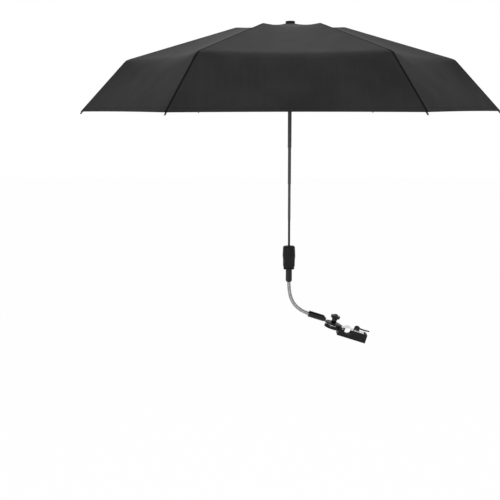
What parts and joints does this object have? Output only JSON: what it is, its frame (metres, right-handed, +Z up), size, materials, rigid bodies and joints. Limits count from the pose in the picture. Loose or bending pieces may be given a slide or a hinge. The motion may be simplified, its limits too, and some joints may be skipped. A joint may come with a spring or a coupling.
{
  "type": "pram parasol",
  "caption": "Folding hexagonal sunshade on a telescopic shaft, with a bendable neck and a tube clamp that fixes it to a pram's frame.",
  "frame": {"origin": "middle of the pram tube that the clamp grips", "axes": "+Y along the tube, +Z up along the open parasol's shaft, +X towards the clamp's free end"},
  "size_m": [0.9023, 0.7818, 0.6977],
  "materials": {
    "black_plastic": "matte",
    "gloss_black": "glossy",
    "grip_rubber": "matte",
    "pad_rubber": "matte",
    "steel": "satin",
    "black_steel": "satin",
    "brass": "satin",
    "black_cloth": "woven"
  },
  "bodies": {
    "clamp": {"clamp_body": "black_plastic", "clamp_stud": "steel", "tilt_bolt": "steel", "strap_pin": "steel", "tube_pad": "pad_rubber"},
    "strap": {"clamp_strap": "steel"},
    "washer": {"clamp_washer": "steel"},
    "lever": {"clamp_lever": "gloss_black", "lever_insert": "brass"},
    "tilt_arm": {"tilt_tang": "steel", "tilt_disc": "black_plastic", "lower_sleeve": "gloss_black"},
    "knob": {"star_knob": "gloss_black", "knob_insert": "brass"},
    "link_1": {"neck_link_1": "steel"},
    "link_2": {"neck_link_2": "steel"},
    "link_3": {"neck_link_3": "steel"},
    "link_4": {"neck_link_4": "steel"},
    "link_5": {"neck_link_5": "steel"},
    "link_6": {"neck_link_6": "steel"},
    "plug": {"upper_sleeve": "gloss_black", "parasol_plug": "black_plastic"},
    "bush": {"swivel_bush": "black_plastic"},
    "handle": {"handle_grip": "grip_rubber", "handle_core": "black_plastic", "shaft_tube_4": "black_steel"},
    "tube_3": {"shaft_tube_3": "black_steel"},
    "tube_2": {"shaft_tube_2": "black_steel"},
    "head": {"shaft_tube_1": "black_steel", "crown": "black_plastic", "crown_ring": "steel", "top_cap": "black_plastic", "canopy": "black_cloth"},
    "runner": {"runner": "black_plastic", "runner_ring": "steel"},
    "button": {"runner_button": "black_plastic"},
    "inner_1": {"rib_inner_1": "black_steel"},
    "mid_1": {"rib_mid_1": "black_steel"},
    "outer_1": {"rib_outer_1": "black_steel"},
    "stretcher_1": {"stretcher_1": "black_steel"},
    "inner_2": {"rib_inner_2": "black_steel"},
    "mid_2": {"rib_mid_2": "black_steel"},
    "outer_2": {"rib_outer_2": "black_steel"},
    "stretcher_2": {"stretcher_2": "black_steel"},
    "inner_3": {"rib_inner_3": "black_steel"},
    "mid_3": {"rib_mid_3": "black_steel"},
    "outer_3": {"rib_outer_3": "black_steel"},
    "stretcher_3": {"stretcher_3": "black_steel"},
    "inner_4": {"rib_inner_4": "black_steel"},
    "mid_4": {"rib_mid_4": "black_steel"},
    "outer_4": {"rib_outer_4": "black_steel"},
    "stretcher_4": {"stretcher_4": "black_steel"},
    "inner_5": {"rib_inner_5": "black_steel"},
    "mid_5": {"rib_mid_5": "black_steel"},
    "outer_5": {"rib_outer_5": "black_steel"},
    "stretcher_5": {"stretcher_5": "black_steel"},
    "inner_6": {"rib_inner_6": "black_steel"},
    "mid_6": {"rib_mid_6": "black_steel"},
    "outer_6": {"rib_outer_6": "black_steel"},
    "stretcher_6": {"stretcher_6": "black_steel"}
  },
  "joints": [
    {"name": "lever_turn", "type": "hinge", "parent": "washer", "child": "lever", "pos_m": [0.01885, 0, -0.00175], "axis": [0.3007, 0, 0.9537], "range_deg": [0, 1090]},
    {"name": "washer_travel", "type": "slide", "parent": "clamp", "child": "washer", "axis": [0.3007, 0, 0.9537], "range_m": [0, 0.0045]},
    {"name": "strap_swing", "type": "hinge", "parent": "clamp", "child": "strap", "pos_m": [-0.01162, 0, 0.00639], "axis": [0, -1, 0], "range_deg": [0, 6.3]},
    {"name": "tilt", "type": "hinge", "parent": "clamp", "child": "tilt_arm", "pos_m": [-0.0335, 0, 0.01182], "axis": [0.3007, 0, 0.9537], "range_deg": [-100, 100]},
    {"name": "knob_turn", "type": "hinge", "parent": "clamp", "child": "knob", "pos_m": [-0.02739, 0, 0.03118], "axis": [0.3007, 0, 0.9537], "continuous": true},
    {"name": "neck_bend_1", "type": "hinge", "parent": "tilt_arm", "child": "link_1", "pos_m": [-0.08859, 0, 0.03894], "axis": [0, 1, 0], "range_deg": [-18, 6]},
    {"name": "neck_sway_1", "type": "hinge", "parent": "link_1", "child": "link_2", "pos_m": [-0.10224, 0, 0.04492], "axis": [0.4011, 0, 0.916], "range_deg": [-17, 17]},
    {"name": "neck_bend_2", "type": "hinge", "parent": "link_2", "child": "link_3", "pos_m": [-0.11429, 0, 0.05368], "axis": [0, 1, 0], "range_deg": [-18, 6]},
    {"name": "neck_sway_2", "type": "hinge", "parent": "link_3", "child": "link_4", "pos_m": [-0.12325, 0, 0.06558], "axis": [0.7991, 0, 0.6012], "range_deg": [-17, 17]},
    {"name": "neck_bend_3", "type": "hinge", "parent": "link_4", "child": "link_5", "pos_m": [-0.12841, 0, 0.07956], "axis": [0, 1, 0], "range_deg": [-18, 6]},
    {"name": "neck_sway_3", "type": "hinge", "parent": "link_5", "child": "link_6", "pos_m": [-0.13065, 0, 0.09429], "axis": [0.9886, 0, 0.1505], "range_deg": [-17, 17]},
    {"name": "neck_bend_4", "type": "hinge", "parent": "link_6", "child": "plug", "pos_m": [-0.13146, 0, 0.10917], "axis": [0, 1, 0], "range_deg": [-18, 6]},
    {"name": "swivel", "type": "hinge", "parent": "plug", "child": "bush", "pos_m": [-0.13146, 0, 0.14237], "axis": [0, 0, 1], "continuous": true},
    {"name": "pull_off", "type": "slide", "parent": "bush", "child": "handle", "axis": [0, 0, 1], "range_m": [0, 0.03]},
    {"name": "tube_3_slide", "type": "slide", "parent": "handle", "child": "tube_3", "axis": [0, 0, 1], "range_m": [-0.05, 0]},
    {"name": "tube_2_slide", "type": "slide", "parent": "tube_3", "child": "tube_2", "axis": [0, 0, 1], "range_m": [-0.07, 0]},
    {"name": "tube_1_slide", "type": "slide", "parent": "tube_2", "child": "head", "axis": [0, 0, 1], "range_m": [-0.07, 0]},
    {"name": "fold", "type": "hinge", "parent": "head", "child": "inner_1", "pos_m": [-0.12246, 0, 0.65737], "axis": [0, 1, 0], "range_deg": [0, 80], "deforming": ["canopy"]},
    {"name": "mid_1_fold", "type": "hinge", "parent": "inner_1", "child": "mid_1", "pos_m": [0.05154, 0, 0.63327], "axis": [0, 1, 0], "range_deg": [-176.1, 0]},
    {"name": "outer_1_fold", "type": "hinge", "parent": "mid_1", "child": "outer_1", "pos_m": [0.21505, 0, 0.5863], "axis": [0, 1, 0], "range_deg": [0, 144.1]},
    {"name": "stretcher_1_fold", "type": "hinge", "parent": "runner", "child": "stretcher_1", "pos_m": [-0.12246, 0, 0.60462], "axis": [0, 1, 0], "range_deg": [-48.2, 0]},
    {"name": "inner_2_fold", "type": "hinge", "parent": "head", "child": "inner_2", "pos_m": [-0.12696, 0.00779, 0.65737], "axis": [-0.866, 0.5, 0], "range_deg": [0, 80.1]},
    {"name": "mid_2_fold", "type": "hinge", "parent": "inner_2", "child": "mid_2", "pos_m": [-0.03996, 0.15848, 0.63327], "axis": [-0.866, 0.5, 0], "range_deg": [-176.1, 0]},
    {"name": "outer_2_fold", "type": "hinge", "parent": "mid_2", "child": "outer_2", "pos_m": [0.04179, 0.30009, 0.5863], "axis": [-0.866, 0.5, 0], "range_deg": [0, 144.1]},
    {"name": "stretcher_2_fold", "type": "hinge", "parent": "runner", "child": "stretcher_2", "pos_m": [-0.12696, 0.00779, 0.60462], "axis": [-0.866, 0.5, 0], "range_deg": [-48.2, 0]},
    {"name": "inner_3_fold", "type": "hinge", "parent": "head", "child": "inner_3", "pos_m": [-0.13596, 0.00779, 0.65737], "axis": [-0.866, -0.5, 0], "range_deg": [0, 80.1]},
    {"name": "mid_3_fold", "type": "hinge", "parent": "inner_3", "child": "mid_3", "pos_m": [-0.22296, 0.15848, 0.63327], "axis": [-0.866, -0.5, 0], "range_deg": [-176.1, 0]},
    {"name": "outer_3_fold", "type": "hinge", "parent": "mid_3", "child": "outer_3", "pos_m": [-0.30471, 0.30009, 0.5863], "axis": [-0.866, -0.5, 0], "range_deg": [0, 144.1]},
    {"name": "stretcher_3_fold", "type": "hinge", "parent": "runner", "child": "stretcher_3", "pos_m": [-0.13596, 0.00779, 0.60462], "axis": [-0.866, -0.5, 0], "range_deg": [-48.2, 0]},
    {"name": "inner_4_fold", "type": "hinge", "parent": "head", "child": "inner_4", "pos_m": [-0.14046, 0, 0.65737], "axis": [0, -1, 0], "range_deg": [0, 80.1]},
    {"name": "mid_4_fold", "type": "hinge", "parent": "inner_4", "child": "mid_4", "pos_m": [-0.31446, 0, 0.63327], "axis": [0, -1, 0], "range_deg": [-176.1, 0]},
    {"name": "outer_4_fold", "type": "hinge", "parent": "mid_4", "child": "outer_4", "pos_m": [-0.47797, 0, 0.5863], "axis": [0, -1, 0], "range_deg": [0, 144.1]},
    {"name": "stretcher_4_fold", "type": "hinge", "parent": "runner", "child": "stretcher_4", "pos_m": [-0.14046, 0, 0.60462], "axis": [0, -1, 0], "range_deg": [-48.2, 0]},
    {"name": "inner_5_fold", "type": "hinge", "parent": "head", "child": "inner_5", "pos_m": [-0.13596, -0.00779, 0.65737], "axis": [0.866, -0.5, 0], "range_deg": [0, 80.1]},
    {"name": "mid_5_fold", "type": "hinge", "parent": "inner_5", "child": "mid_5", "pos_m": [-0.22296, -0.15848, 0.63327], "axis": [0.866, -0.5, 0], "range_deg": [-176.1, 0]},
    {"name": "outer_5_fold", "type": "hinge", "parent": "mid_5", "child": "outer_5", "pos_m": [-0.30471, -0.30009, 0.5863], "axis": [0.866, -0.5, 0], "range_deg": [0, 144.1]},
    {"name": "stretcher_5_fold", "type": "hinge", "parent": "runner", "child": "stretcher_5", "pos_m": [-0.13596, -0.00779, 0.60462], "axis": [0.866, -0.5, 0], "range_deg": [-48.2, 0]},
    {"name": "inner_6_fold", "type": "hinge", "parent": "head", "child": "inner_6", "pos_m": [-0.12696, -0.00779, 0.65737], "axis": [0.866, 0.5, 0], "range_deg": [0, 80.1]},
    {"name": "mid_6_fold", "type": "hinge", "parent": "inner_6", "child": "mid_6", "pos_m": [-0.03996, -0.15848, 0.63327], "axis": [0.866, 0.5, 0], "range_deg": [-176.1, 0]},
    {"name": "outer_6_fold", "type": "hinge", "parent": "mid_6", "child": "outer_6", "pos_m": [0.04179, -0.30009, 0.5863], "axis": [0.866, 0.5, 0], "range_deg": [0, 144.1]},
    {"name": "stretcher_6_fold", "type": "hinge", "parent": "runner", "child": "stretcher_6", "pos_m": [-0.12696, -0.00779, 0.60462], "axis": [0.866, 0.5, 0], "range_deg": [-48.2, 0]},
    {"name": "runner_slide", "type": "slide", "parent": "head", "child": "runner", "axis": [0, 0, 1], "range_m": [-0.10228, 0]},
    {"name": "button_press", "type": "slide", "parent": "runner", "child": "button", "axis": [0, 1, 0], "range_m": [0, 0.0015], "stiffness_N_per_m": 400, "springref_m": -0.001}
  ],
  "couplings": [
    {"joint": "lever_turn", "follows": "washer_travel", "rad_per_m": 4188.8},
    {"joint": "strap_swing", "follows": "washer_travel", "rad_per_m": 24.047},
    {"joint": "neck_bend_2", "follows": "neck_bend_1", "ratio": 1},
    {"joint": "neck_bend_3", "follows": "neck_bend_1", "ratio": 1},
    {"joint": "neck_bend_4", "follows": "neck_bend_1", "ratio": 1},
    {"joint": "neck_sway_2", "follows": "neck_sway_1", "ratio": 1},
    {"joint": "neck_sway_3", "follows": "neck_sway_1", "ratio": 1},
    {"joint": "mid_1_fold", "follows": "fold", "ratio": -2.2},
    {"joint": "outer_1_fold", "follows": "fold", "ratio": 1.8},
    {"joint": "stretcher_1_fold", "follows": "fold", "ratio": -0.6013},
    {"joint": "inner_2_fold", "follows": "fold", "ratio": 1},
    {"joint": "mid_2_fold", "follows": "fold", "ratio": -2.2},
    {"joint": "outer_2_fold", "follows": "fold", "ratio": 1.8},
    {"joint": "stretcher_2_fold", "follows": "fold", "ratio": -0.6013},
    {"joint": "inner_3_fold", "follows": "fold", "ratio": 1},
    {"joint": "mid_3_fold", "follows": "fold", "ratio": -2.2},
    {"joint": "outer_3_fold", "follows": "fold", "ratio": 1.8},
    {"joint": "stretcher_3_fold", "follows": "fold", "ratio": -0.6013},
    {"joint": "inner_4_fold", "follows": "fold", "ratio": 1},
    {"joint": "mid_4_fold", "follows": "fold", "ratio": -2.2},
    {"joint": "outer_4_fold", "follows": "fold", "ratio": 1.8},
    {"joint": "stretcher_4_fold", "follows": "fold", "ratio": -0.6013},
    {"joint": "inner_5_fold", "follows": "fold", "ratio": 1},
    {"joint": "mid_5_fold", "follows": "fold", "ratio": -2.2},
    {"joint": "outer_5_fold", "follows": "fold", "ratio": 1.8},
    {"joint": "stretcher_5_fold", "follows": "fold", "ratio": -0.6013},
    {"joint": "inner_6_fold", "follows": "fold", "ratio": 1},
    {"joint": "mid_6_fold", "follows": "fold", "ratio": -2.2},
    {"joint": "outer_6_fold", "follows": "fold", "ratio": 1.8},
    {"joint": "stretcher_6_fold", "follows": "fold", "ratio": -0.6013},
    {"joint": "runner_slide", "follows": "fold", "m_per_rad": -0.073109}
  ]
}
